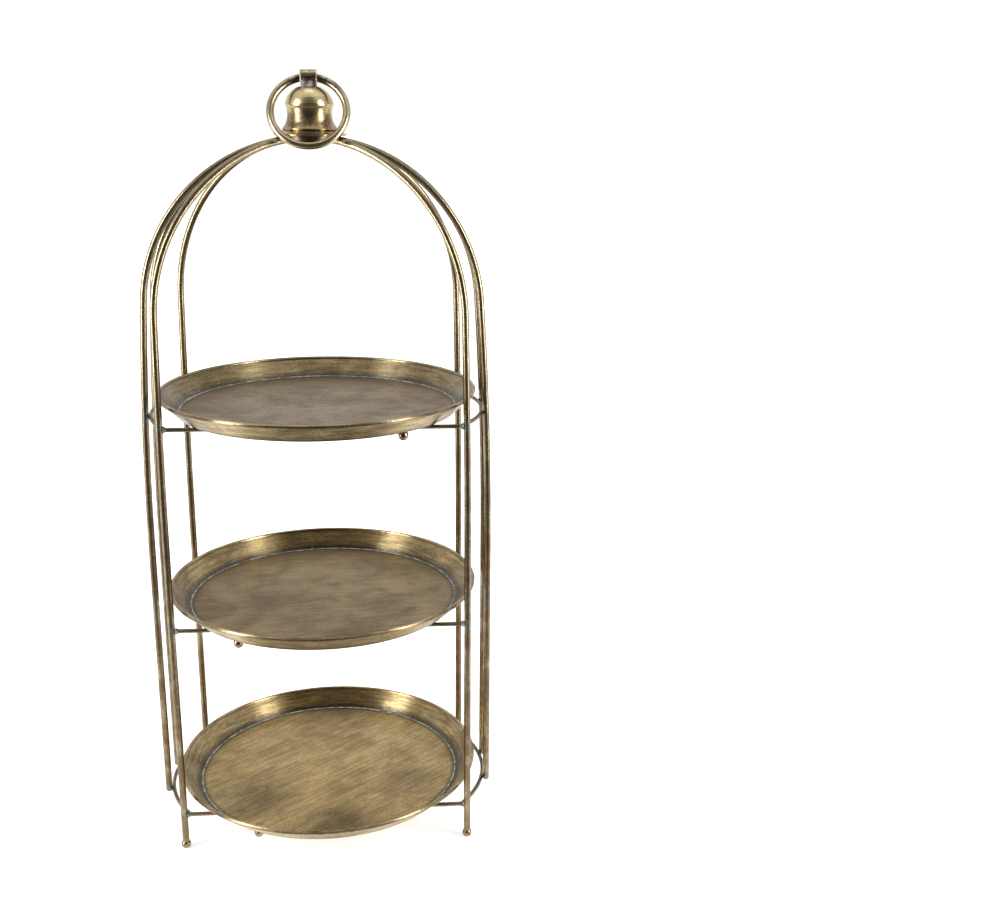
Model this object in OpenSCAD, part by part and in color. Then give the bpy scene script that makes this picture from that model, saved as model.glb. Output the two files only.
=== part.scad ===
// Three-tier tray stand: a cage of eight bent rods under a bell finial with a carrying ring.
// Lengths are millimetres, +Z is up, the stand's front faces -Y.
// The origin lies on the floor, on the axis through the finial and the tray centres.

/* [Trays] */
// Radius of a tray over its rolled rim
tray_r = 150; // [130:1:180]
// Height of a tray from its underside to the top of the rim
tray_h = 19; // [14:0.5:26]
// Radius of the flat floor disc, out to the soldered seam
floor_r = 130; // [110:1:132]
// Sheet thickness of floor and wall
sheet_t = 1.2; // [0.8:0.1:1.6]
// Diameter of the rolled rim
bead_d = 3.8; // [3:0.1:5]
// Outer radius of the bend between floor and wall
corner_r = 3; // [2:0.1:5]
// Flat left on the wall ring between the seam and the bend
seam_land = 1; // [0.5:0.1:3]
// Radius of the circle that a tray's three ball feet stand on
tray_foot_r = 126; // [90:1:128]
// Running gap between a tray's rim and the rods where the cage is narrowest
tray_clear = 1.75; // [1:0.25:6]
// Gap under a resting tray
tray_rest = 0.3; // [0.1:0.1:0.5]

/* [Tiers] */
// Height of the lowest bars above the floor
base_bar_z = 36.5; // [30:0.5:60]
// Rise from one tier's bars to the next
tier_pitch = 194; // [150:1:230]
// Rise from the top bars to the level where the round crown begins
crown_rise = 96; // [80:1:140]

/* [Rods] */
// Diameter of the legs and side rods
rod_d = 6.5; // [5:0.1:7.5]
// How far a leg's foot stands out past the crown's radius
leg_spread = 3; // [1:0.5:12]
// How far a side rod's lower end stands out past the crown's radius
side_spread = 8; // [4:0.5:16]
// Length over which a rod leans in before the crown
lean_l = 240; // [120:5:280]
// Angle of a leg from the stand's left-right line
leg_az = 28.9; // [26:0.1:34]
// Angle of a side rod from the stand's left-right line
side_az = 9.1; // [8:0.1:10]
// How far a side rod reaches below the base bars' centre
side_drop = 3.5; // [1:0.5:10]

/* [Wires and feet] */
// Diameter of the bars and side wires
wire_d = 4; // [3:0.1:5]
// Depth of the seat where a side wire is brazed to a rod
wire_bite = 0.4; // [0.2:0.1:0.8]
// Diameter of every ball foot
ball_d = 9.5; // [8.5:0.1:12]
// Height of the flat worn on the underside of a leg's ball
ball_flat = 0.3; // [0.1:0.1:0.6]
// How far a tray's ball is filed away where it meets the floor disc
ball_seat = 0.7; // [0.3:0.1:1.5]

/* [Hub] */
// Gap between neighbouring rods where they meet the hub
rod_gap = 0.46; // [0.2:0.02:1.2]
// Hub left above and below the ends of the rods
hub_cap = 0.2; // [0.1:0.1:1]
// Diameter of the threaded stud through the finial
stud_d = 4; // [3:0.5:5]
// Play of the stud in the hub and in the bell
stud_play = 0.15; // [0.05:0.05:0.3]
// Height of the nut under the hub
nut_h = 3.2; // [2.4:0.1:5]
// Width of the nut across its flats
nut_af = 7; // [6:0.5:10]

/* [Bell] */
// How far the bell's brim reaches past the hub
brim_over = 11; // [7:0.5:14]
// Height of the upright edge of the brim
brim_edge = 1.4; // [1:0.1:2]
// Rise of the brim from its edge to the bead above it
brim_rise = 3.4; // [2:0.1:6]
// How far the brim is dished between its edge and the bead
brim_dish = 0.5; // [0.1:0.1:0.8]
// Radius of the bead round the foot of the bell's body
foot_bead_r = 25.2; // [23:0.1:27]
// Height of that bead
foot_bead_h = 1.8; // [1:0.1:3]
// Radius of the bell's waist
waist_r = 20; // [17:0.1:20.1]
// Height of the waist above the hub
waist_h = 18.5; // [15:0.5:21]
// Height of the crease under the shoulder
crease_h = 24; // [22.5:0.1:26]
// Radius at the crease
crease_r = 20.7; // [20.2:0.1:21]
// Height at which the rounded shoulder runs into the dome
shoulder_h = 28.2; // [27:0.1:31]
// Radius there
shoulder_r = 21.5; // [21.2:0.1:22.5]
// How far the shoulder bulges between the crease and the dome
shoulder_bulge = 0.5; // [0.2:0.1:0.8]
// Radius of the flat on top of the dome
dome_flat_r = 10.2; // [9.9:0.1:13]
// How far the dome stands off a straight cone
dome_crown = 2; // [0.5:0.1:2.5]
// Height of the bell
bell_h = 42; // [38:0.5:50]
// Sheet thickness of the bell
bell_t = 1.2; // [0.8:0.1:1.6]

/* [Strap and ring] */
// Outside diameter of the carrying ring
ring_d = 74; // [72:0.5:84]
// Thickness of the ring's rod
ring_rod = 6.8; // [5:0.1:8]
// Width of the strap that holds the ring
strap_w = 14.6; // [10:0.1:16]
// Thickness of the strap
strap_t = 2; // [1.5:0.1:3]
// Running gap round the ring inside the strap
strap_gap = 0.4; // [0.3:0.1:1]
// Height of the saddle brazed between the strap's ends
saddle_h = 3.6; // [3:0.1:6]
// Gap between the hanging ring and the brim that it leans on
ring_rest = 0.3; // [0.1:0.1:0.6]

/* [Hidden] */

// Smoothness of the drawn circles, by how large they are
fn_round = 48;
fn_large = 180;
// Steps along the gentle lean of a rod
lean_steps = 16;
// A length that reaches past any edge it has to cut
over = 1;
// How much thinner the core is that ties two lengths of rod together
core_skin = 0.4;

// The colours of the brass, from the brightest to the darkest
brass_light = [0.74, 0.63, 0.40];
brass_mid = [0.60, 0.50, 0.31];
brass_dark = [0.43, 0.36, 0.24];
brass_grey = [0.45, 0.43, 0.35];

// Tiers, counted from the floor: base, middle and top
bar_z = [for (tier = [0:2]) base_bar_z + tier * tier_pitch];
spring_z = bar_z[2] + crown_rise;

// Cage: the crown is a half circle that clears the trays on their way up
crown_r = tray_r + tray_clear + rod_d / 2;
leg_r = crown_r + leg_spread;
side_r = crown_r + side_spread;

// A rod that starts at plan radius r leans in by lean(r) before it joins the crown
function lean(r) = 2 * atan((r - crown_r) / lean_l);
function lean_radius(r) = lean_l / sin(lean(r));
function lean_start(r) = spring_z + crown_r * sin(lean(r)) - lean_l;
// Plan radius of that rod's centre line at height z, below the crown
function rod_r_at(r, z) = z <= lean_start(r)
    ? r
    : r - lean_radius(r) + sqrt(lean_radius(r) ^ 2 - (z - lean_start(r)) ^ 2);

// The hub is just large enough for eight rods to meet it side by side
hub_az = min(side_az, (leg_az - side_az) / 2);
hub_r = (rod_d + rod_gap) / 2 / sin(hub_az);
hub_top = spring_z + sqrt((crown_r + rod_d / 2) ^ 2 - hub_r ^ 2) + hub_cap;
hub_low = spring_z + sqrt((crown_r - rod_d / 2) ^ 2 - hub_r ^ 2) - hub_cap;

// Bell outline as [radius, height above the hub]; its bead stays a hair short of a half circle
hair = 0.01;
brim_r = hub_r + brim_over;
flange_r = foot_bead_r - foot_bead_h / 2;
flange_z = brim_edge + brim_rise;
body_z = flange_z + foot_bead_h;
bell_top = hub_top + bell_h;

// The ring turns about the centre of its own rod inside the strap
ring_c = (ring_d - ring_rod) / 2;
strap_in = ring_rod / 2 + ring_c - sqrt(ring_c ^ 2 - (strap_w / 2) ^ 2) + strap_gap;
pivot_z = bell_top + saddle_h + strap_in;
stand_top = pivot_z + strap_in + strap_t;

// Points of a round arc from a to b that stands off the straight line by sag,
// to the right of the way for a positive sag
arc_steps = 10;
function arc(a, b, sag) =
    let (
        chord = norm(b - a),
        radius = (chord ^ 2 / 4 + sag ^ 2) / (2 * abs(sag)),
        along = (b - a) / chord,
        right = [along[1], -along[0]],
        centre = (a + b) / 2 + right * (sag > 0 ? sag - radius : sag + radius),
        half = asin(chord / 2 / radius),
        side = sag > 0 ? 1 : -1
    )
    [for (i = [0:arc_steps])
        let (t = -half + 2 * half * i / arc_steps)
        centre + radius * (along * sin(t) + side * right * cos(t))];

// Sag of an arc whose far end runs straight up: it spans in across and up along
function upright_sag(across, up) =
    let (radius = (across ^ 2 + up ^ 2) / (2 * across))
    radius - sqrt(radius ^ 2 - (across ^ 2 + up ^ 2) / 4);

bell_outline = concat(
    [[brim_r, 0]],
    arc([brim_r, brim_edge], [flange_r, flange_z], -brim_dish),
    arc([flange_r, flange_z], [flange_r, body_z], foot_bead_h / 2 - hair),
    arc([flange_r, body_z], [waist_r, waist_h], -upright_sag(flange_r - waist_r, waist_h - body_z)),
    arc([waist_r, waist_h], [crease_r, crease_h], -upright_sag(crease_r - waist_r, crease_h - waist_h)),
    arc([crease_r, crease_h], [shoulder_r, shoulder_h], shoulder_bulge),
    arc([shoulder_r, shoulder_h], [dome_flat_r, bell_h], dome_crown)
);
// The bell's inside follows the body one sheet thickness in; the brim is solid
mouth_r = flange_r - bell_t;
bell_inside = [for (q = bell_outline) if (q[1] >= body_z) [q[0] - bell_t, min(q[1], bell_h - bell_t)]];

// How far the bell clears the ring when the ring leans forward by t degrees
function ring_clear(p, t) =
    let (
        v = p - [0, 0, pivot_z],
        down = -v[1] * sin(t) - v[2] * cos(t) - ring_c,
        off = -v[1] * cos(t) + v[2] * sin(t)
    )
    sqrt(off ^ 2 + (sqrt(v[0] ^ 2 + down ^ 2) - ring_c) ^ 2) - ring_rod / 2;
function bell_clear(t) = min([
    for (q = bell_outline, turn = [0:4:88])
        ring_clear([q[0] * sin(turn), -q[0] * cos(turn), hub_top + q[1]], t)
]);
// The ring comes to rest at the first angle at which it clears the bell
ring_lean = min([for (t = [10:0.25:70]) if (bell_clear(t) >= ring_rest) t]);

// Trays: the wall leaves the bend as a tangent and ends at the middle of the rim
bend = [floor_r + seam_land, corner_r];
rim = [tray_r - bead_d / 2, tray_h - bead_d / 2];
bend_mid = corner_r - sheet_t / 2;
wall_az = atan2(rim[1] - bend[1], rim[0] - bend[0]) - acos(bend_mid / norm(rim - bend));
// Where the first ball foot of each tray stands, and the steps round the bend
tray_feet_az = [-120, -126, -51];
bend_steps = 5;

function tray_z(tier) = bar_z[tier] + wire_d / 2 + tray_rest;
// Place of a rod at plan radius r and angle az from the left-right line, at height z
function rod_place(r, az, z) = [rod_r_at(r, z) * cos(az), rod_r_at(r, z) * sin(az)];

module ball(d) {
    sphere(d = d, $fn = fn_round);
}

// A rod in the XZ plane, bent over towards the axis: an upright length, a gentle lean and the crown
module bent_rod(r, low) {
    a = lean(r);
    rise = lean_start(r);
    translate([r, 0, low])
        cylinder(d = rod_d, h = rise - low, $fn = fn_round);
    translate([r, 0, rise])
        rotate([90, 0, 0])
            translate([-lean_radius(r), 0, 0])
                rotate_extrude(angle = a, $fn = lean_steps * 360 / a)
                    translate([lean_radius(r), 0])
                        circle(d = rod_d, $fn = fn_round);
    translate([crown_r * (1 - cos(a)), 0, spring_z])
        rotate([90, 0, 0])
            rotate([0, 0, a])
                rotate_extrude(angle = 90 - a, $fn = fn_large)
                    translate([crown_r, 0])
                        circle(d = rod_d, $fn = fn_round);
    // One core runs through both bends' ends, so that the rod is a single solid
    for (end = [[r, rise, 0], [crown_r, rise + lean_l, a]])
        translate([end[0], 0, end[1]])
            rotate([0, -end[2], 0])
                cylinder(d = rod_d - core_skin, h = rod_d, center = true, $fn = fn_round);
}

// The space that the hub takes from the ends of the rods
module hub_core() {
    translate([0, 0, hub_low - 2 * over])
        cylinder(r = hub_r, h = hub_top - hub_low + 4 * over, $fn = fn_large);
}

// A leg stands in a socket half way down its ball foot
leg_low = ball_d / 2 - ball_flat;
module leg(az) {
    color(brass_mid)
        difference() {
            rotate([0, 0, az]) bent_rod(leg_r, leg_low);
            hub_core();
        }
}

// A side rod ends in a round tip below the base wire
side_low = base_bar_z - side_drop;
module side_rod(az) {
    color(brass_mid)
        difference() {
            rotate([0, 0, az])
                union() {
                    bent_rod(side_r, side_low + rod_d / 2);
                    translate([side_r, 0, side_low + rod_d / 2]) ball(rod_d);
                }
            hub_core();
        }
}

module foot(az) {
    color(brass_dark)
        rotate([0, 0, az])
            translate([leg_r, 0, leg_low])
                difference() {
                    ball(ball_d);
                    cylinder(d = rod_d, h = ball_d, $fn = fn_round);
                    translate([0, 0, -ball_d - leg_low])
                        cylinder(d = 2 * ball_d, h = ball_d, $fn = fn_round);
                }
}

// A straight bar between two legs, side = -1 in front and 1 at the back
module bar_blank(tier, side) {
    end = rod_place(leg_r, leg_az, bar_z[tier]);
    translate([-end[0], side * end[1], bar_z[tier]])
        rotate([0, 90, 0])
            cylinder(d = wire_d, h = 2 * end[0], $fn = fn_round);
}

module bar(tier, side) {
    color(brass_grey)
        difference() {
            bar_blank(tier, side);
            rotate([0, 0, side * leg_az]) bent_rod(leg_r, leg_low);
            rotate([0, 0, 180 - side * leg_az]) bent_rod(leg_r, leg_low);
        }
}

// A bowed wire inside the four rods of the right-hand side
module side_wire_right(tier) {
    p = rod_place(leg_r, leg_az, bar_z[tier]);
    q = rod_place(side_r, side_az, bar_z[tier]);
    bow_x = (p * p - q * q) / (2 * (p[0] - q[0]));
    bow_r = norm(p - [bow_x, 0]) - (rod_d + wire_d) / 2 + wire_bite;
    bow_a = atan2(p[1], p[0] - bow_x);
    difference() {
        translate([bow_x, 0, bar_z[tier]])
            rotate([0, 0, -bow_a])
                rotate_extrude(angle = 2 * bow_a, $fn = fn_large)
                    translate([bow_r, 0])
                        circle(d = wire_d, $fn = fn_round);
        for (side = [-1, 1]) {
            rotate([0, 0, side * leg_az]) bent_rod(leg_r, leg_low);
            rotate([0, 0, side * side_az]) bent_rod(side_r, side_low);
            bar_blank(tier, side);
        }
    }
}

// side = 1 is the right-hand side, -1 the left
module side_wire(tier, side) {
    color(brass_grey)
        if (side > 0) side_wire_right(tier);
        else mirror([1, 0, 0]) side_wire_right(tier);
}

module stud_hole(low, high) {
    translate([0, 0, low - over])
        cylinder(d = stud_d + 2 * stud_play, h = high - low + 2 * over, $fn = fn_round);
}

module hub() {
    color(brass_mid)
        difference() {
            translate([0, 0, hub_low])
                cylinder(r = hub_r, h = hub_top - hub_low, $fn = fn_large);
            stud_hole(hub_low, hub_top);
        }
}

module bell() {
    color(brass_light)
        difference() {
            translate([0, 0, hub_top])
                rotate_extrude($fn = fn_large)
                    difference() {
                        polygon(concat([[0, 0]], bell_outline, [[0, bell_h]]));
                        polygon(concat([[0, -over], [mouth_r, -over]], bell_inside, [[0, bell_h - bell_t]]));
                    }
            stud_hole(bell_top - bell_t, bell_top);
        }
}

// A disc closes the bell's mouth and sits on the hub
module bell_base() {
    color(brass_mid)
        difference() {
            translate([0, 0, hub_top])
                cylinder(r = mouth_r, h = brim_edge, $fn = fn_large);
            stud_hole(hub_top, hub_top + brim_edge);
        }
}

stud_low = hub_low - nut_h - stud_d / 4;
stud_top = bell_top + saddle_h - strap_t / 2;
module bell_stud() {
    color(brass_dark)
        translate([0, 0, stud_low])
            cylinder(d = stud_d, h = stud_top - stud_low, $fn = fn_round);
}

module bell_nut() {
    color(brass_dark)
        difference() {
            translate([0, 0, hub_low - nut_h])
                cylinder(d = nut_af / cos(30), h = nut_h, $fn = 6);
            translate([0, 0, stud_low - over])
                cylinder(d = stud_d, h = hub_low - stud_low + 2 * over, $fn = fn_round);
        }
}

// Outline of the strap seen from the side: upright legs under a half round
module strap_side(r) {
    circle(r = r, $fn = 2 * fn_round);
    translate([-r, bell_top - pivot_z]) square([2 * r, pivot_z - bell_top]);
}

module strap() {
    color(brass_light)
        translate([-strap_w / 2, 0, pivot_z])
            rotate([90, 0, 90])
                linear_extrude(strap_w)
                    difference() {
                        strap_side(strap_in + strap_t);
                        circle(r = strap_in, $fn = 2 * fn_round);
                        translate([-strap_in, bell_top - pivot_z - over])
                            square([2 * strap_in, pivot_z - bell_top + over]);
                    }
}

module strap_saddle() {
    color(brass_grey)
        difference() {
            translate([-strap_w / 2, -strap_in, bell_top])
                cube([strap_w, 2 * strap_in, saddle_h]);
            translate([0, 0, bell_top - over])
                cylinder(d = stud_d, h = stud_top - bell_top + over, $fn = fn_round);
        }
}

module handle_ring() {
    color(brass_light)
        translate([0, 0, pivot_z])
            rotate([-ring_lean, 0, 0])
                translate([0, 0, -ring_c])
                    rotate([90, 0, 0])
                        rotate_extrude($fn = fn_large)
                            translate([ring_c, 0])
                                circle(d = ring_rod, $fn = fn_round);
}

// Points round the bend between floor and wall, at radius r from its centre
function bend_points(r) = [for (i = [0:bend_steps])
    let (a = -90 + (90 + wall_az) * i / bend_steps)
    bend + r * [cos(a), sin(a)]];

// Section of a tray's wall, from the seam round the bend and up to the rim
module wall_section() {
    half = sheet_t / 2 * [cos(wall_az), sin(wall_az)];
    inside = bend_points(corner_r - sheet_t);
    polygon(concat(
        [[floor_r, 0]],
        bend_points(corner_r),
        [rim + half, rim - half],
        [for (i = [0:bend_steps]) inside[bend_steps - i]],
        [[floor_r, sheet_t]]
    ));
    translate(rim) circle(d = bead_d, $fn = fn_round);
}

module tray_wall(tier) {
    color(brass_light)
        translate([0, 0, tray_z(tier)])
            rotate_extrude($fn = fn_large)
                wall_section();
}

module tray_floor(tier) {
    color(brass_mid)
        translate([0, 0, tray_z(tier)])
            cylinder(r = floor_r, h = sheet_t, $fn = fn_large);
}

module tray_feet(tier) {
    color(brass_dark)
        for (third = [0:2])
            rotate([0, 0, tray_feet_az[tier] + 120 * third])
                translate([tray_foot_r, 0, tray_z(tier)])
                    difference() {
                        translate([0, 0, ball_seat - ball_d / 2]) ball(ball_d);
                        cylinder(d = 2 * ball_d, h = ball_d, $fn = fn_round);
                    }
}

leg(180 + leg_az);  // leg_front_left
leg(-leg_az);  // leg_front_right
leg(180 - leg_az);  // leg_rear_left
leg(leg_az);  // leg_rear_right
side_rod(180 + side_az);  // side_rod_front_left
side_rod(-side_az);  // side_rod_front_right
side_rod(180 - side_az);  // side_rod_rear_left
side_rod(side_az);  // side_rod_rear_right
foot(180 + leg_az);  // foot_front_left
foot(-leg_az);  // foot_front_right
foot(180 - leg_az);  // foot_rear_left
foot(leg_az);  // foot_rear_right
bar(0, -1);  // base_bar_front
bar(0, 1);  // base_bar_rear
bar(1, -1);  // middle_bar_front
bar(1, 1);  // middle_bar_rear
bar(2, -1);  // top_bar_front
bar(2, 1);  // top_bar_rear
side_wire(0, -1);  // base_wire_left
side_wire(0, 1);  // base_wire_right
side_wire(2, -1);  // top_wire_left
side_wire(2, 1);  // top_wire_right
hub();
bell();
bell_base();
bell_stud();
bell_nut();
strap();
strap_saddle();
handle_ring();
tray_wall(0);  // base_tray_wall
tray_floor(0);  // base_tray_floor
tray_feet(0);  // base_tray_feet
tray_wall(1);  // middle_tray_wall
tray_floor(1);  // middle_tray_floor
tray_feet(1);  // middle_tray_feet
tray_wall(2);  // top_tray_wall
tray_floor(2);  // top_tray_floor
tray_feet(2);  // top_tray_feet
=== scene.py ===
"""Looks of the antiqued brass tray stand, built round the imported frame.

Everything is in metres in the row's frame: +Z up, -Y the front, the floor at Z = 0.
"""
import math
import bmesh
import bpy
from mathutils import Matrix, Vector, noise


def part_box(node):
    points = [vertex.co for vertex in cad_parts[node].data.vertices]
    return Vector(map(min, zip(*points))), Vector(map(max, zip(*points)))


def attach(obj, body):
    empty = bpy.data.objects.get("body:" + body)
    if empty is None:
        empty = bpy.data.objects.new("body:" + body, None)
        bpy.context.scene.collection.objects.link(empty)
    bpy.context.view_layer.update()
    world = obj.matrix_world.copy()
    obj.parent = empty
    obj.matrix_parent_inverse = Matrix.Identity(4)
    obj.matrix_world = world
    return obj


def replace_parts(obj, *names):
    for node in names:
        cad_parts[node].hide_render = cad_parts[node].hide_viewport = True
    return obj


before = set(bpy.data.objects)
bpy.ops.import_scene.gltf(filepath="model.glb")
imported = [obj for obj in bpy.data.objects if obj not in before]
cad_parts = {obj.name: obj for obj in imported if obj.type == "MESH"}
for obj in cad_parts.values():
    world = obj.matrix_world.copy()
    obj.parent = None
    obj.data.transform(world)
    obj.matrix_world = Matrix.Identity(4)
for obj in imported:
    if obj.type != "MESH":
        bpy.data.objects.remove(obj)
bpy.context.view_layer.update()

MM = 0.001
TIERS = ("base", "middle", "top")
CORNERS = ("front_left", "front_right", "rear_left", "rear_right")
FULL_TURN = 2 * math.pi
# A fixed seed, so that the uneven solder comes out the same each run
noise.seed_set(7)


def centre_of(node):
    low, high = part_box(node)
    return (Vector(low) + Vector(high)) / 2


def size_of(node):
    low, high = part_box(node)
    return Vector(high) - Vector(low)


# Sizes that no box gives: a rod's radius as a multiple of the stud's, and the radius of the ring's wire
ROD_TO_STUD = 1.625
RING_WIRE_R = 3.4 * MM
# Places and sizes read from the frame
FOOT = {corner: centre_of("foot_" + corner) for corner in CORNERS}
ROD_R = size_of("bell_stud").x / 2 * ROD_TO_STUD
BAR_Z = {tier: centre_of(tier + "_bar_front").z for tier in TIERS}
WIRE_R = size_of("base_bar_front").z / 2
SEAM_R = size_of("base_tray_floor").x / 2
BELL_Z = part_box("bell")[0][2]
WAIST_Z = BELL_Z + 0.34 * size_of("bell").z
DOME_Z = BELL_Z + 0.60 * size_of("bell").z
STRAP_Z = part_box("strap")[0][2]
PIVOT_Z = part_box("handle_ring")[1][2] - RING_WIRE_R


# Node helpers for the materials and the studio

class Nodes:
    """A node tree under construction, with short ways to add and join nodes."""

    def __init__(self, tree):
        self.tree = tree
        self.coords = tree.nodes.new("ShaderNodeTexCoord").outputs["Object"]

    def node(self, kind, **values):
        made = self.tree.nodes.new(kind)
        for key, value in values.items():
            setattr(made, key, value)
        return made

    def join(self, source, socket):
        if hasattr(source, "is_output"):
            self.tree.links.new(source, socket)
        else:
            socket.default_value = source

    def math(self, operation, a, b=0.0):
        made = self.node("ShaderNodeMath", operation=operation)
        self.join(a, made.inputs[0])
        self.join(b, made.inputs[1])
        return made.outputs[0]

    def stretched(self, scale, turn=0.0):
        """Object coordinates turned about Z, then scaled."""
        made = self.node("ShaderNodeMapping", vector_type="TEXTURE")
        made.inputs["Rotation"].default_value = (0, 0, turn)
        made.inputs["Scale"].default_value = [1 / each for each in scale]
        self.join(self.coords, made.inputs["Vector"])
        return made.outputs[0]

    def noise(self, vector, scale, detail=4.0, roughness=0.55, distortion=0.0):
        made = self.node("ShaderNodeTexNoise")
        self.join(vector, made.inputs["Vector"])
        made.inputs["Scale"].default_value = scale
        made.inputs["Detail"].default_value = detail
        made.inputs["Roughness"].default_value = roughness
        made.inputs["Distortion"].default_value = distortion
        return made.outputs["Fac"]

    def ramp(self, value, low, high, to_low=0.0, to_high=1.0):
        made = self.node("ShaderNodeMapRange", interpolation_type="SMOOTHSTEP")
        self.join(value, made.inputs["Value"])
        made.inputs["From Min"].default_value = low
        made.inputs["From Max"].default_value = high
        made.inputs["To Min"].default_value = to_low
        made.inputs["To Max"].default_value = to_high
        return made.outputs["Result"]

    def blend(self, factor, a, b, way="MIX"):
        made = self.node("ShaderNodeMix", data_type="RGBA", blend_type=way)
        self.join(factor, made.inputs["Factor"])
        self.join(a if hasattr(a, "is_output") else (*a, 1.0), made.inputs[6])
        self.join(b if hasattr(b, "is_output") else (*b, 1.0), made.inputs[7])
        return made.outputs[2]

    def mix_number(self, factor, a, b):
        made = self.node("ShaderNodeMix", data_type="FLOAT")
        self.join(factor, made.inputs[0])
        self.join(a, made.inputs[2])
        self.join(b, made.inputs[3])
        return made.outputs[0]

    def bump(self, height, distance, normal=None):
        made = self.node("ShaderNodeBump")
        made.inputs["Distance"].default_value = distance
        self.join(height, made.inputs["Height"])
        if normal is not None:
            self.join(normal, made.inputs["Normal"])
        return made.outputs[0]

    def split(self, vector):
        made = self.node("ShaderNodeSeparateXYZ")
        self.join(vector, made.inputs[0])
        return made.outputs

    def distance(self, place, keep=(1, 1, 1)):
        """Distance of each point from a place, counted along the axes kept."""
        offset = self.node("ShaderNodeVectorMath", operation="SUBTRACT")
        self.join(self.coords, offset.inputs[0])
        offset.inputs[1].default_value = place
        kept = self.node("ShaderNodeVectorMath", operation="MULTIPLY")
        self.join(offset.outputs[0], kept.inputs[0])
        kept.inputs[1].default_value = keep
        length = self.node("ShaderNodeVectorMath", operation="LENGTH")
        self.join(kept.outputs[0], length.inputs[0])
        return length.outputs["Value"]


class Paint(Nodes):
    """A material under construction."""

    def __init__(self, name):
        self.material = bpy.data.materials.new(name)
        self.material.use_nodes = True
        super().__init__(self.material.node_tree)
        self.shader = self.tree.nodes["Principled BSDF"]

    def set(self, socket, value):
        self.join(value, self.shader.inputs[socket])


# Colours of the brass, linear
CREAM = (0.72, 0.615, 0.41)
OLD_GOLD = (0.40, 0.30, 0.15)
BROWN = (0.20, 0.14, 0.075)
UMBER = (0.07, 0.048, 0.026)
RIM_HIGHLIGHT_ROSE = (0.66, 0.54, 0.40)
VERDIGRIS = (0.16, 0.18, 0.165)
DARK_GREY = (0.15, 0.16, 0.14)
GUTTER = (0.085, 0.078, 0.068)
PALE_SOLDER = (0.45, 0.46, 0.42)
BLUE_SOLDER = (0.42, 0.45, 0.45)
WAIST_PAINTED_SHADE = (0.18, 0.13, 0.072)
PIVOT_BROWN = (0.13, 0.10, 0.08)
OUTER_WALL_PAINTED_LIGHT = (0.50, 0.40, 0.23)
# Tones that the metal drifts between, as factors
OLIVE = (0.95, 1.0, 0.89)
RUDDY = (1.04, 0.96, 0.92)
# Scales of the noise, larger for a finer pattern: specks, spots of tarnish, drift of tone, and dents
# together with the ragged edges of stains
GRAIN = 620.0
SPOTS = 130.0
DRIFT = 75.0
DENTS = 45.0


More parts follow.
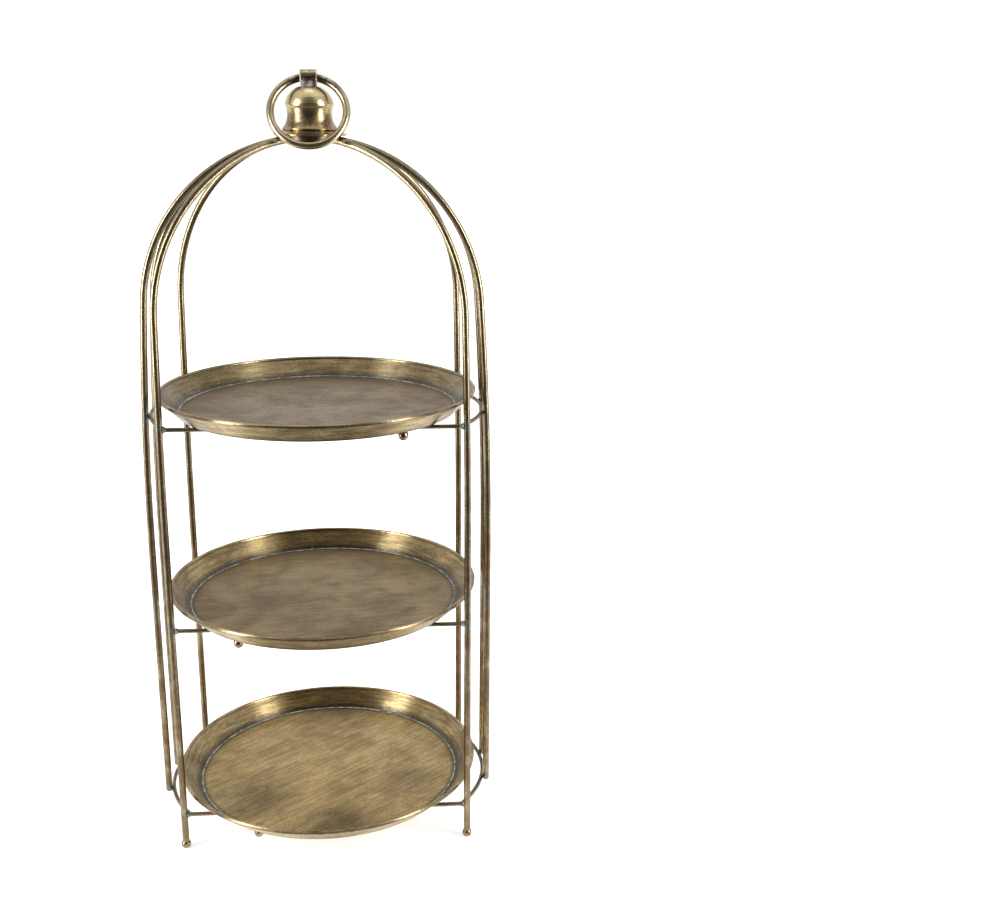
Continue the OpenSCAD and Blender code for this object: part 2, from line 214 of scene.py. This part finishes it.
def antique(name, tones, strokes, turn=0.0, cloud_size=26.0, cloud=(0.40, 0.66), streak=0.45, speck=0.5,
            rough=(0.24, 0.42), dent=0.25, tarnish_and_shade=(), rings=(), stains_and_shade=(), facing_down_painted_light=None, clean_above=None,
            clean_band=0.08, turned=0.0, wander=0.0, scratch=0.05):
    """Antiqued brass: cloudy patina, brush strokes, specks and slow dents.

    tones are bright, mid and dark. strokes is the scale of the brush strokes on X, Y and Z: low along
    them and high across them. turn swings them about Z, wander is how crooked they run, and scratch
    how deep they are, in millimetres, as dent is for the dents. tarnish_and_shade holds (height, reach,
    tone, dull) of bands, where dull is how much less metallic they are: tarnish, and round the bell's
    waist painted shade. rings (tone, start, end, amount) go by distance from the Z axis, and
    stains_and_shade (x, y, reach, amount) are dark patches: stains, and in places painted shade.
    facing_down_painted_light is a tone painted on faces that look down, for the light reflected up
    onto them. Above the height clean_above the metal is smoother and clearer, and clean_band is half
    the height over which it changes. turned is how far lathe marks round the Z axis draw out the gloss.
    """
    bright, mid, dark = tones
    paint = Paint(name)
    clouds = paint.noise(paint.coords, cloud_size, 6.0, 0.6, 0.4)
    lines = paint.noise(paint.stretched(strokes, turn), 1.0, 5.0, 0.62, wander)
    specks = paint.noise(paint.coords, GRAIN, 4.0, 0.65)
    height = paint.split(paint.coords)[2]
    patina = paint.ramp(clouds, *cloud)
    worn = paint.ramp(lines, 0.36, 0.64)
    grime = paint.ramp(specks, 0.54, 0.70, 0.0, speck)
    glint = paint.ramp(specks, 0.42, 0.28, 0.0, 0.5 * speck)
    if clean_above is not None:
        clean = paint.ramp(height, clean_above - clean_band, clean_above + clean_band, 1.0, 0.25)
        patina = paint.math("MULTIPLY", patina, clean)
        grime = paint.math("MULTIPLY", grime, clean)
        glint = paint.math("MULTIPLY", glint, clean)
    colour = paint.blend(patina, bright, mid)
    if facing_down_painted_light is not None:
        facing = paint.split(paint.node("ShaderNodeNewGeometry").outputs["Normal"])[2]
        # Painted light: faces that look down take a tone of their own, set for the light reflected up onto
        # them
        colour = paint.blend(paint.ramp(facing, -0.2, -0.5), colour, paint.blend(patina, facing_down_painted_light, mid))
    for tone, begin, finish, amount in rings:
        reach = paint.distance((0, 0, 0), (1, 1, 0))
        colour = paint.blend(paint.ramp(reach, begin, finish, 0.0, amount), colour, tone)
    for x, y, reach, amount in stains_and_shade:
        ragged = paint.math("MULTIPLY", paint.noise(paint.coords, DENTS, 4.0), 0.5 * reach)
        away = paint.math("ADD", paint.distance((x, y, 0), (1, 1, 0)), ragged)
        colour = paint.blend(paint.ramp(away, 0.35 * reach, 1.25 * reach, amount, 0.0), colour, dark)
    drift = paint.ramp(paint.noise(paint.coords, DRIFT, 3.0), 0.36, 0.64)
    colour = paint.blend(1.0, colour, paint.blend(drift, OLIVE, RUDDY), "MULTIPLY")
    colour = paint.blend(paint.math("MULTIPLY", worn, streak), colour, dark)
    colour = paint.blend(grime, colour, dark)
    colour = paint.blend(glint, colour, CREAM)
    spots = paint.noise(paint.coords, SPOTS, 3.0)
    metal = 1.0
    for level, reach, tone, dull in tarnish_and_shade:
        near = paint.math("ABSOLUTE", paint.math("SUBTRACT", height, level))
        band = paint.ramp(near, 0.2 * reach, reach, 1.0, 0.0)
        mask = paint.math("MULTIPLY", band, paint.ramp(spots, 0.40, 0.58))
        colour = paint.blend(mask, colour, tone)
        metal = paint.math("SUBTRACT", metal, paint.math("MULTIPLY", mask, dull))
    paint.set("Base Color", colour)
    roughness = paint.ramp(clouds, 0.3, 0.7, *rough)
    if clean_above is not None:
        roughness = paint.math("MULTIPLY", roughness, paint.ramp(clean, 0.0, 1.0, 0.9, 1.0))
    paint.set("Roughness", paint.math("ADD", roughness, paint.math("MULTIPLY", grime, 0.15)))
    dents = paint.bump(paint.noise(paint.coords, DENTS, 2.0), dent * MM)
    scratches = paint.bump(lines, scratch * MM, dents)
    paint.set("Normal", paint.bump(specks, 0.05 * speck * MM, scratches))
    paint.set("Metallic", metal)
    if turned:
        round_z = paint.node("ShaderNodeVectorMath", operation="CROSS_PRODUCT")
        round_z.inputs[0].default_value = (0, 0, 1)
        paint.join(paint.coords, round_z.inputs[1])
        paint.set("Tangent", round_z.outputs[0])
        paint.set("Anisotropic", turned)
        paint.set("Anisotropic Rotation", 0.25)
    return paint.material


def soldered(name, pale, dark):
    """Dull solder with a green-grey bloom, only partly metallic."""
    paint = Paint(name)
    bloom = paint.ramp(paint.noise(paint.coords, 160.0, 4.0), 0.40, 0.60)
    grime = paint.ramp(paint.noise(paint.coords, 420.0, 4.0), 0.52, 0.70, 0.0, 0.8)
    colour = paint.blend(bloom, dark, pale)
    paint.set("Base Color", paint.blend(grime, colour, UMBER))
    paint.set("Normal", paint.bump(paint.noise(paint.coords, 500.0, 3.0), 0.15 * MM))
    paint.set("Metallic", 0.5)
    paint.set("Roughness", 0.42)
    return paint.material


# Scales of the brush strokes on X, Y and Z
ALONG_Z = (420.0, 420.0, 40.0)
ALONG_X = (40.0, 420.0, 420.0)
ON_FLOOR = (30.0, 330.0, 330.0)
ROUND_Z = (38.0, 38.0, 520.0)
ROUND_BELL = (90.0, 90.0, 900.0)
EVERY_WAY = (240.0, 240.0, 240.0)

# Height from which the rods are cleaner
CLEAN_RODS_Z = 0.44
# Bands round a tray, as distances from its middle: start and end of each change of tone
FLOOR_GUTTER = (124 * MM, 129.5 * MM)
WALL_GUTTER = (138 * MM, 132 * MM)
# A painted highlight along the top of the rim bead
RIM_PAINTED_HIGHLIGHT = (145.5 * MM, 147 * MM)
# Painted shade at the outer edge of the rim bead
RIM_PAINTED_SHADE = (149.3 * MM, 149.8 * MM)

# Bright, mid and dark tone of each finish
ROD_TONES = ((0.32, 0.265, 0.175), (0.155, 0.112, 0.07), UMBER)
WIRE_TONES = ((0.255, 0.215, 0.155), (0.14, 0.112, 0.082), UMBER)
FOOT_TONES = ((0.31, 0.25, 0.155), (0.17, 0.128, 0.075), UMBER)
BELL_TONES = ((0.64, 0.53, 0.315), (0.33, 0.25, 0.135), BROWN)
RING_TONES = ((0.50, 0.43, 0.295), (0.29, 0.23, 0.145), BROWN)
STRAP_TONES = ((0.60, 0.52, 0.36), (0.33, 0.265, 0.16), UMBER)
FIXING_TONES = (OLD_GOLD, BROWN, UMBER)
# Painted light: the walls of the base and middle trays are lighter than the top one's, to make up for the
# light that the trays above keep off them
WALL_TONES = {
    "base": ((0.55, 0.43, 0.23), (0.37, 0.28, 0.145), UMBER),
    "middle": ((0.50, 0.39, 0.21), (0.34, 0.258, 0.134), UMBER),
    "top": ((0.36, 0.28, 0.16), (0.26, 0.198, 0.11), UMBER),
}
# What differs from one tray floor to the next: tones, angle and strength of the strokes, and dark patches:
# stains, and painted shade at the front and back of the base floor and at the front of the middle one
FLOOR_LOOKS = {
    "base": dict(tones=((0.59, 0.437, 0.214), (0.445, 0.322, 0.156), UMBER), turn=math.radians(40),
                 streak=0.43,
                 # The patches at the front and back of this floor are painted shade, the others stains
                 stains_and_shade=((-0.075, -0.055, 0.055, 0.45), (0.02, -0.115, 0.06, 0.6),
                         (0.085, -0.03, 0.045, 0.4), (0.0, 0.115, 0.06, 0.4))),
    "middle": dict(tones=((0.325, 0.24, 0.124), (0.25, 0.182, 0.096), UMBER), turn=math.radians(8),
                   streak=0.36,
                   # The patch at the front of this floor is painted shade, the other a stain
                   stains_and_shade=((-0.07, -0.03, 0.06, 0.3), (0.03, -0.09, 0.05, 0.25))),
    "top": dict(tones=((0.28, 0.21, 0.13), (0.20, 0.148, 0.092), UMBER), turn=math.radians(4), streak=0.36,
                stains_and_shade=((-0.09, 0.0, 0.05, 0.25), (0.09, -0.02, 0.04, 0.2))),
}

rod_brass = antique("rod_brass", ROD_TONES, ALONG_Z, cloud_size=48.0, cloud=(0.30, 0.60), rough=(0.24, 0.35),
                    streak=0.35, speck=0.35, clean_above=CLEAN_RODS_Z,
                    tarnish_and_shade=[(BAR_Z[tier], 9 * MM, DARK_GREY, 0.2) for tier in TIERS])
wire_brass = antique("wire_brass", WIRE_TONES, ALONG_X, rough=(0.28, 0.40))
foot_brass = antique("foot_brass", FOOT_TONES, EVERY_WAY, cloud_size=140.0, rough=(0.16, 0.3))
wall_brass = {tier: antique(
    "wall_brass_" + tier, WALL_TONES[tier], ROUND_Z, rough=(0.28, 0.37), dent=0.4, streak=0.58, speck=0.95,
    # The outer faces, which look down, get a painted light tone
    facing_down_painted_light=OUTER_WALL_PAINTED_LIGHT, turned=0.95,
    # Rings of tone: dark in the gutter, a painted highlight on top of the rim bead, and painted shade at its
    # outer edge
    rings=((GUTTER, *WALL_GUTTER, 0.9), (RIM_HIGHLIGHT_ROSE, *RIM_PAINTED_HIGHLIGHT, 0.35), (UMBER, *RIM_PAINTED_SHADE, 0.6)),
    # Painted shade darkens each wall at its far left and right
    stains_and_shade=((-0.150, 0.0, 0.075, 0.35), (0.150, 0.0, 0.075, 0.25)),
) for tier in TIERS}
floor_brass = {tier: antique(
    "floor_brass_" + tier, strokes=ON_FLOOR, cloud_size=26.0, rough=(0.36, 0.50), speck=0.85, wander=0.8,
    rings=((GUTTER, *FLOOR_GUTTER, 0.75),), **FLOOR_LOOKS[tier],
) for tier in TIERS}
bell_brass = antique("bell_brass", BELL_TONES, ROUND_BELL, cloud_size=60.0, cloud=(0.30, 0.58),
                     rough=(0.22, 0.30), streak=0.35, speck=0.6, dent=0.3, scratch=0.01,
                     clean_above=DOME_Z, clean_band=4 * MM,
                     # Painted shade: a brown band round the waist, for the dark reflection there
                     tarnish_and_shade=[(WAIST_Z, 15 * MM, WAIST_PAINTED_SHADE, 0.0)])
ring_brass = antique("ring_brass", RING_TONES, EVERY_WAY, cloud_size=45.0, rough=(0.18, 0.28),
                     streak=0.2, speck=0.2, scratch=0.02,
                     tarnish_and_shade=[(PIVOT_Z, 17 * MM, PIVOT_BROWN, 0.0)])
strap_brass = antique("strap_brass", STRAP_TONES, EVERY_WAY, cloud_size=120.0,
                      rough=(0.14, 0.24), scratch=0.02, tarnish_and_shade=[(STRAP_Z, 9 * MM, BLUE_SOLDER, 0.7)])
fixing_brass = antique("fixing_brass", FIXING_TONES, ALONG_Z)
solder = soldered("solder", PALE_SOLDER, VERDIGRIS)


def finish_node(node, material):
    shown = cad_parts[node]
    shown.data.materials.clear()
    shown.data.materials.append(material)
    for face in shown.data.polygons:
        face.material_index = 0


for corner in CORNERS:
    finish_node("leg_" + corner, rod_brass)
    finish_node("side_rod_" + corner, rod_brass)
    finish_node("foot_" + corner, foot_brass)
for tier in TIERS:
    finish_node(tier + "_bar_front", wire_brass)
    finish_node(tier + "_bar_rear", wire_brass)
    finish_node(tier + "_tray_wall", wall_brass[tier])
    finish_node(tier + "_tray_floor", floor_brass[tier])
    finish_node(tier + "_tray_feet", foot_brass)
for tier in ("base", "top"):
    finish_node(tier + "_wire_left", wire_brass)
    finish_node(tier + "_wire_right", wire_brass)
for node, material in (
    ("hub", wire_brass), ("bell", bell_brass), ("bell_base", wire_brass),
    ("bell_stud", fixing_brass), ("bell_nut", fixing_brass),
    ("strap", strap_brass), ("strap_saddle", solder), ("handle_ring", ring_brass),
):
    finish_node(node, material)


# Small pieces that the frame leaves out: solder at every joint and round every tray floor

def new_piece(name, bm, body, material):
    bmesh.ops.remove_doubles(bm, verts=bm.verts, dist=1e-6)
    bmesh.ops.recalc_face_normals(bm, faces=bm.faces)
    for face in bm.faces:
        face.smooth = True
    mesh = bpy.data.meshes.new(name)
    bm.to_mesh(mesh)
    bm.free()
    mesh.materials.append(material)
    piece = bpy.data.objects.new(name, mesh)
    bpy.context.collection.objects.link(piece)
    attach(piece, body)
    return piece


def spun(bm, outline, steps, place, axis=(0, 0, 1)):
    """Spins an outline of (radius, height) pairs round the axis at place and returns its new vertices."""
    before = set(bm.verts)
    turn = Vector((0, 0, 1)).rotation_difference(Vector(axis)).to_matrix().to_4x4()
    where = Matrix.Translation(Vector(place)) @ turn
    points = [bm.verts.new(where @ Vector((radius, 0, height))) for radius, height in outline]
    edges = [bm.edges.new(pair) for pair in zip(points, points[1:])]
    bmesh.ops.spin(bm, geom=points + edges, cent=where.translation, axis=where.to_3x3() @ Vector((0, 0, 1)),
                   angle=FULL_TURN, steps=steps, use_merge=True, use_normal_flip=False, use_duplicate=False)
    made = [v for v in bm.verts if v not in before]
    bmesh.ops.remove_doubles(bm, verts=made, dist=1e-7)
    return [v for v in bm.verts if v not in before]


def roughen(verts, size, depth, seed):
    """Moves each vertex a little along a smooth random field, for a hand-made surface."""
    for v in verts:
        v.co += depth * Vector(noise.noise_vector(v.co / size + Vector((seed, 0, 0))))


def fillet(bm, place, along, wire_r, reach, spread, seed):
    """A solder collar round a wire: thin where it runs out along the wire, wide where it meets the rod."""
    steps = 6
    outline = [(0.0, -0.25 * reach)]
    for i in range(steps + 1):
        out = i / steps
        outline.append((wire_r + spread * (1 - out) ** 2.2 + 0.05 * MM, reach * out))
    outline.append((0.0, reach))
    roughen(spun(bm, outline, 20, place, along), 3 * MM, 0.35 * MM, seed)


def drop(bm, place, size, seed):
    """A solder drop with three half sizes."""
    before = set(bm.verts)
    bmesh.ops.create_icosphere(bm, subdivisions=3, radius=1.0,
                               matrix=Matrix.Translation(Vector(place)) @ Matrix.Diagonal((*size, 1.0)))
    roughen([v for v in bm.verts if v not in before], 2.5 * MM, 0.4 * MM, seed)


def rod_place(node, height):
    """Centre of a rod at a height, from the points of its surface nearest to there."""
    points = [v.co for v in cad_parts[node].data.vertices]
    closest = min(abs(co.z - height) for co in points)
    near = [co for co in points if abs(co.z - height) < closest + 4 * MM]
    return Vector((sum(co.x for co in near), sum(co.y for co in near), 0)) / len(near)


def bar_solder():
    """Collars where each straight bar meets its two legs."""
    for tier in TIERS:
        bm = bmesh.new()
        for row in ("front", "rear"):
            low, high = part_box(f"{tier}_bar_{row}")
            middle = centre_of(f"{tier}_bar_{row}")
            for end, along in ((low[0], 1), (high[0], -1)):
                place = (end + along * 1.2 * MM, middle.y, middle.z)
                fillet(bm, place, (along, 0, 0), WIRE_R, reach=3.4 * MM, spread=1.3 * MM,
                       seed=end * 50 + middle.y)
        new_piece(f"{tier}_bar_solder", bm, "frame", solder)


def side_wire_solder():
    """A drop of solder in the corner between each side wire and the rods that it runs inside."""
    for tier in ("base", "top"):
        bm = bmesh.new()
        for corner in CORNERS:
            for kind in ("leg_", "side_rod_"):
                centre = rod_place(kind + corner, BAR_Z[tier])
                inward = -centre.normalized()
                place = centre + inward * (ROD_R - 0.2 * MM) + Vector((0, 0, BAR_Z[tier]))
                drop(bm, place, size=(1.9 * MM, 1.9 * MM, 2.5 * MM), seed=centre.x * 90 + centre.y)
        new_piece(f"{tier}_side_wire_solder", bm, "frame", solder)


def foot_solder():
    """A neck where each leg enters its ball."""
    bm = bmesh.new()
    for corner in CORNERS:
        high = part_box("foot_" + corner)[1]
        place = (FOOT[corner].x, FOOT[corner].y, high[2] - 0.8 * MM)
        fillet(bm, place, (0, 0, 1), ROD_R, reach=2.2 * MM, spread=0.5 * MM, seed=FOOT[corner].x * 70)
    new_piece("foot_solder", bm, "frame", foot_brass)


def seam_solder():
    """A thin uneven bead of solder round the edge of each tray floor."""
    half_wide = 0.9 * MM
    proud = 0.6 * MM
    middle = SEAM_R + 0.2 * MM
    steps = 7
    for order, tier in enumerate(TIERS):
        bm = bmesh.new()
        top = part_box(tier + "_tray_floor")[1][2]
        outline = [(middle - half_wide * math.cos(math.pi * i / steps),
                    top - 0.1 * MM + proud * math.sin(math.pi * i / steps)) for i in range(steps + 1)]
        outline.append(outline[0])
        for v in spun(bm, outline, 360, (0, 0, 0)):
            angle = math.atan2(v.co.y, v.co.x)
            field = Vector((3.0 * math.cos(angle), 3.0 * math.sin(angle), 7.0 * order))
            swell = 1 + 0.45 * noise.noise(3.2 * field) + 0.3 * noise.noise(11 * field)
            drift = 0.25 * MM * noise.noise(1.7 * field + Vector((9, 0, 0)))
            radius = math.hypot(v.co.x, v.co.y)
            moved = (middle + (radius - middle) * swell + drift) / radius
            v.co.x *= moved
            v.co.y *= moved
            if v.co.z > top:
                v.co.z = top + (v.co.z - top) * swell
        new_piece(tier + "_seam_solder", bm, tier + "_tray", solder)


def soft_edged_strap():
    """The strap with its sheared edges rounded over, in the place of the plain one."""
    bm = bmesh.new()
    bm.from_mesh(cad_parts["strap"].data)
    bmesh.ops.remove_doubles(bm, verts=bm.verts, dist=1e-6)
    bmesh.ops.dissolve_limit(bm, angle_limit=math.radians(1), verts=bm.verts, edges=bm.edges)
    sharp = [e for e in bm.edges if e.is_manifold and e.calc_face_angle() > math.radians(50)]
    bmesh.ops.bevel(bm, geom=sharp, offset=0.5 * MM, segments=3, profile=0.5, affect="EDGES", material=-1)
    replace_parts(new_piece("bent_strap", bm, "frame", strap_brass), "strap")


bar_solder()
side_wire_solder()
foot_solder()
seam_solder()
soft_edged_strap()


# Studio: a white floor that keeps the shadow, and a world that is white to the camera

GLOW_NEAR = 0.57
# Where the floor darkens towards the camera's side, along Y
DARK_FRONT = (-0.60, -0.16)


def shown_white(nodes, camera_level, metal_level):
    """camera_level for camera rays, metal_level for glossy and transmission rays, nought for the rest."""
    path = nodes.node("ShaderNodeLightPath").outputs
    mirrored = nodes.math("MAXIMUM", path["Is Glossy Ray"], path["Is Transmission Ray"])
    seen = nodes.math("MULTIPLY", path["Is Camera Ray"], camera_level)
    return nodes.math("MAXIMUM", seen, nodes.math("MULTIPLY", mirrored, metal_level))


def make_floor():
    mesh = bpy.data.meshes.new("studio_floor")
    bm = bmesh.new()
    bmesh.ops.create_grid(bm, x_segments=1, y_segments=1, size=30.0)
    bm.to_mesh(mesh)
    bm.free()
    floor = bpy.data.objects.new("studio_floor", mesh)
    bpy.context.collection.objects.link(floor)
    material = bpy.data.materials.new("studio_white")
    material.use_nodes = True
    material.node_tree.nodes.clear()
    nodes = Nodes(material.node_tree)
    # The floor is dark to the metal in front, where a studio's camera side is
    forward = nodes.split(nodes.coords)[1]
    matt = nodes.node("ShaderNodeBsdfDiffuse")
    matt_level = nodes.ramp(forward, *DARK_FRONT, 0.10, 0.8)
    nodes.join(matt_level, matt.inputs["Color"])
    # Far out it glows white for the camera, and near the stand it is lit enough to keep the shadow
    far_out = nodes.ramp(nodes.distance((0, 0, 0)), 0.30, 1.10, GLOW_NEAR, 1.0)
    camera_level = nodes.math("ADD", far_out, nodes.math("SUBTRACT", 0.8, matt_level))
    mirrored = nodes.ramp(forward, *DARK_FRONT, 0.04, 0.8)
    glow = nodes.node("ShaderNodeEmission")
    nodes.join(shown_white(nodes, camera_level, mirrored), glow.inputs["Strength"])
    both = nodes.node("ShaderNodeAddShader")
    nodes.join(matt.outputs[0], both.inputs[0])
    nodes.join(glow.outputs[0], both.inputs[1])
    # The underside is clear, so that the stand shows from below too
    one_sided = nodes.node("ShaderNodeMixShader")
    nodes.join(nodes.node("ShaderNodeNewGeometry").outputs["Backfacing"], one_sided.inputs[0])
    nodes.join(both.outputs[0], one_sided.inputs[1])
    nodes.join(nodes.node("ShaderNodeBsdfTransparent").outputs[0], one_sided.inputs[2])
    nodes.join(one_sided.outputs[0], nodes.node("ShaderNodeOutputMaterial").inputs["Surface"])
    mesh.materials.append(material)


def make_world():
    """White to the camera; the metal sees white behind, dimmer sides, and dark in front."""
    world = bpy.data.worlds.new("studio_world")
    bpy.context.scene.world = world
    world.use_nodes = True
    world.node_tree.nodes.clear()
    nodes = Nodes(world.node_tree)
    _, y, z = nodes.split(nodes.node("ShaderNodeTexCoord").outputs["Generated"])
    # Low in the sky: dark towards the camera's side, brighter at the sides, white behind
    front = nodes.ramp(z, 0.20, 0.50, 0.02, 0.20)
    side = nodes.math("ADD", 0.66, nodes.ramp(y, 0.0, 0.6, 0.0, 0.34))
    level_low = nodes.mix_number(nodes.ramp(y, -0.80, -0.58), front, side)
    # High in the sky: dark in front, bright overhead, half as bright behind
    overhead = nodes.ramp(y, -0.60, -0.35, 0.12, 1.15)
    level_high = nodes.math("MULTIPLY", overhead, nodes.ramp(y, 0.20, 0.45, 1.0, 0.5))
    level = nodes.mix_number(nodes.ramp(z, 0.55, 0.80), level_low, level_high)
    seen = nodes.math("MAXIMUM", level, nodes.node("ShaderNodeLightPath").outputs["Is Camera Ray"])
    background = nodes.node("ShaderNodeBackground")
    background.inputs["Color"].default_value = (1, 1, 1, 1)
    nodes.join(seen, background.inputs["Strength"])
    nodes.join(background.outputs[0], nodes.node("ShaderNodeOutputWorld").inputs["Surface"])


def softbox(name, place, aim, wide, tall, radiance):
    lamp = bpy.data.lights.new(name, "AREA")
    lamp.shape = "RECTANGLE"
    lamp.size = wide
    lamp.size_y = tall
    lamp.energy = radiance * math.pi * wide * tall
    lit = bpy.data.objects.new(name, lamp)
    lit.location = place
    lit.rotation_euler = (Vector(aim) - Vector(place)).to_track_quat("-Z", "Y").to_euler()
    bpy.context.collection.objects.link(lit)


make_floor()
make_world()
for side, name, radiance in ((-1, "left", 16.5), (1, "right", 12.5)):
    softbox("strip_" + name, place=(side * 1.48, -0.78, 0.86), aim=(0, 0, 0.60), wide=0.50, tall=1.6,
            radiance=radiance)
softbox("softbox_overhead", place=(0, 0.15, 2.6), aim=(0, 0, 0.40), wide=0.9, tall=0.6, radiance=1.2)


# Camera, fitted to the photograph's frame of 995 x 923

# The lens in pixels, as the fit gives it, and the width of that frame
LENS_PIXELS = 1231.4
FRAME_PIXELS = 995


def place_camera():
    spot = Vector((68.1, -1158.4, 705.2)) * MM
    heading = math.radians(5.14)
    pitch = math.radians(16.14)
    roll = math.radians(0.56)
    level = Vector((math.sin(heading), math.cos(heading), 0))
    look = level * math.cos(pitch) - Vector((0, 0, 1)) * math.sin(pitch)
    right = look.cross(Vector((0, 0, 1))).normalized()
    up = right.cross(look)
    tilted_right = right * math.cos(roll) + up * math.sin(roll)
    tilted_up = up * math.cos(roll) - right * math.sin(roll)
    camera = bpy.data.cameras.new("camera")
    camera.sensor_width = 36.0
    camera.lens = LENS_PIXELS / FRAME_PIXELS * camera.sensor_width
    camera.clip_start = 0.05
    holder = bpy.data.objects.new("camera", camera)
    turn = Matrix((tilted_right, tilted_up, -look)).transposed()
    holder.matrix_world = Matrix.Translation(spot) @ turn.to_4x4()
    bpy.context.collection.objects.link(holder)
    bpy.context.scene.camera = holder


place_camera()
bpy.context.scene.view_settings.view_transform = "Standard"
